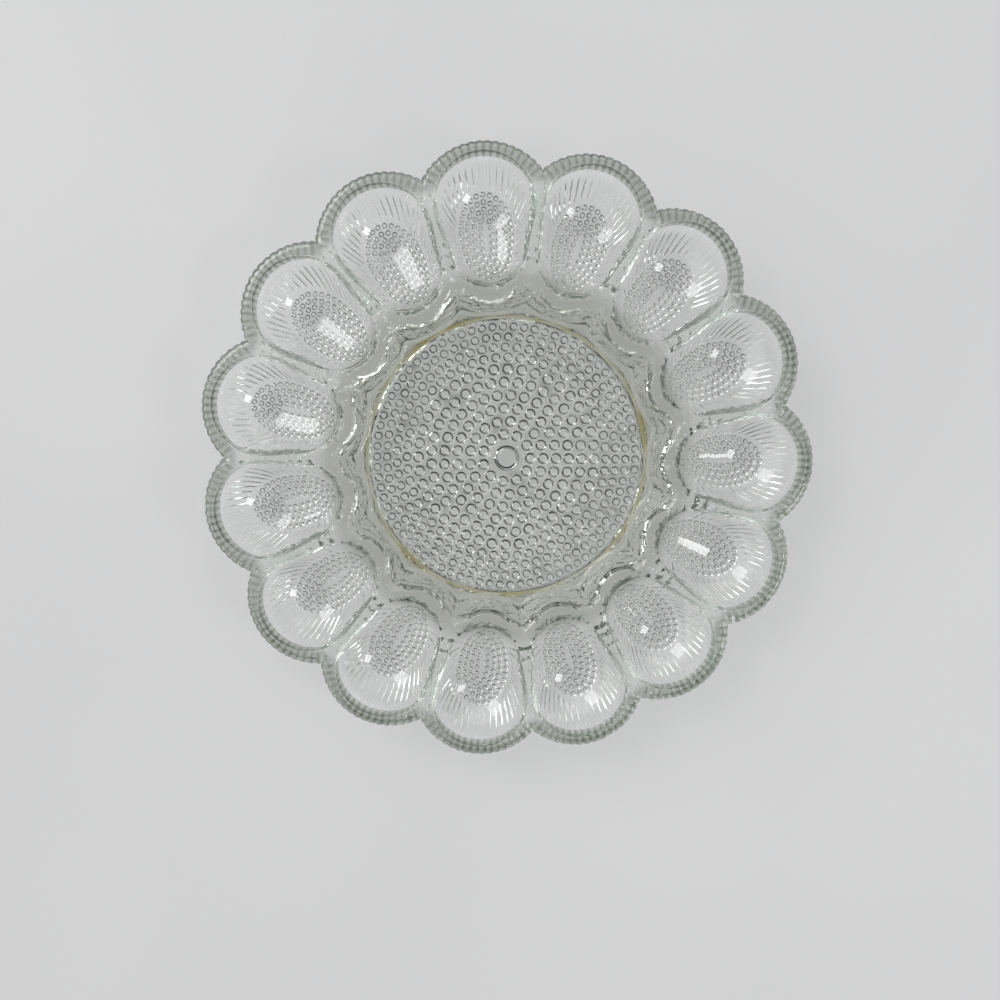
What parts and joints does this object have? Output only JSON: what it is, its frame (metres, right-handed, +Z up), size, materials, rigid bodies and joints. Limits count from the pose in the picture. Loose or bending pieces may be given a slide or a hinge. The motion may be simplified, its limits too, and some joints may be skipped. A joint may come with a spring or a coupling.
{
  "type": "deviled egg platter",
  "caption": "Round pressed-glass platter with a ring of egg-shaped cups around a beaded central well, inside a crimped and scalloped rim.",
  "frame": {"origin": "middle of the platter on the plane that the foot ring rests on", "axes": "+Z up along the platter's axis, +X through the middle of the first egg cup"},
  "size_m": [0.2771, 0.2782, 0.03],
  "materials": {
    "glass": "clear pressed glass, polished, faintly green where it is thick"
  },
  "bodies": {
    "root": {"well_floor": "glass", "well_beads": "glass", "centre_button": "glass", "foot_ring": "glass", "egg_cup_01": "glass", "egg_cup_02": "glass", "egg_cup_03": "glass", "egg_cup_04": "glass", "egg_cup_05": "glass", "egg_cup_06": "glass", "egg_cup_07": "glass", "egg_cup_08": "glass", "egg_cup_09": "glass", "egg_cup_10": "glass", "egg_cup_11": "glass", "egg_cup_12": "glass", "egg_cup_13": "glass", "egg_cup_14": "glass", "egg_cup_15": "glass", "cup_beads_01": "glass", "cup_beads_02": "glass", "cup_beads_03": "glass", "cup_beads_04": "glass", "cup_beads_05": "glass", "cup_beads_06": "glass", "cup_beads_07": "glass", "cup_beads_08": "glass", "cup_beads_09": "glass", "cup_beads_10": "glass", "cup_beads_11": "glass", "cup_beads_12": "glass", "cup_beads_13": "glass", "cup_beads_14": "glass", "cup_beads_15": "glass"}
  },
  "joints": []
}
